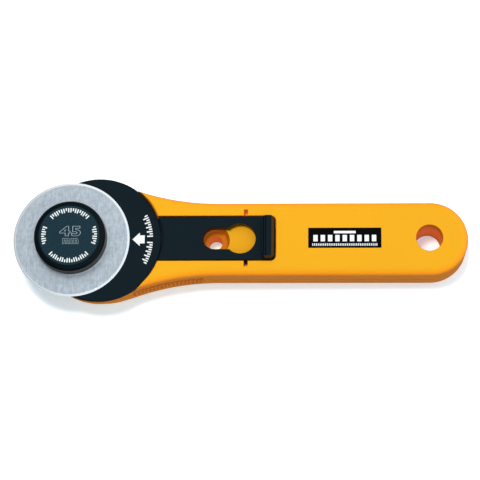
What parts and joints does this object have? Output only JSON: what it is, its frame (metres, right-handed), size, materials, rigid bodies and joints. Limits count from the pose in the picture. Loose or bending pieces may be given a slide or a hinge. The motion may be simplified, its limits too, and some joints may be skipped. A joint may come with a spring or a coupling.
{
  "type": "rotary cutter",
  "caption": "Straight-handled rotary cutter with a round blade that spins on a bolt, a sliding blade cover with a thumb pad, and a knurled nut behind.",
  "frame": {"origin": "on the blade's axis at the outer face of the nut, the lowest face of the part", "axes": "+X along the handle from the blade to the tail, +Y across the handle, +Z from the nut to the blade"},
  "size_m": [0.1748, 0.0484, 0.0254],
  "materials": {
    "handle_plastic": "moulded, satin",
    "cover_plastic": "moulded, fine texture",
    "cap_plastic": "moulded, satin",
    "cap_print_disc": "printed plastic",
    "blade_steel": "ground, satin",
    "bolt_steel": "zinc plated",
    "washer_steel": "spring steel",
    "nut_brass": "machined",
    "nut_plastic": "moulded, satin",
    "label_film": "printed film"
  },
  "bodies": {
    "body": {"handle": "handle_plastic", "handle_label": "label_film", "bolt_stem": "bolt_steel", "cap_washer": "bolt_steel", "bolt_cap": "cap_plastic", "cap_disc": "cap_print_disc"},
    "blade": {"blade": "blade_steel"},
    "cover": {"blade_cover": "cover_plastic"},
    "nut": {"nut_knob": "nut_plastic", "hex_nut": "nut_brass", "spring_washer": "washer_steel"}
  },
  "joints": [
    {"name": "blade_spin", "type": "hinge", "parent": "body", "child": "blade", "pos_m": [0, 0, 0.01865], "axis": [0, 0, 1], "continuous": true},
    {"name": "cover_slide", "type": "slide", "parent": "body", "child": "cover", "axis": [-1, 0, 0], "range_m": [0, 0.0105]},
    {"name": "nut_turn", "type": "hinge", "parent": "body", "child": "nut", "pos_m": [0, 0, 0.004], "axis": [0, 0, 1], "continuous": true}
  ]
}
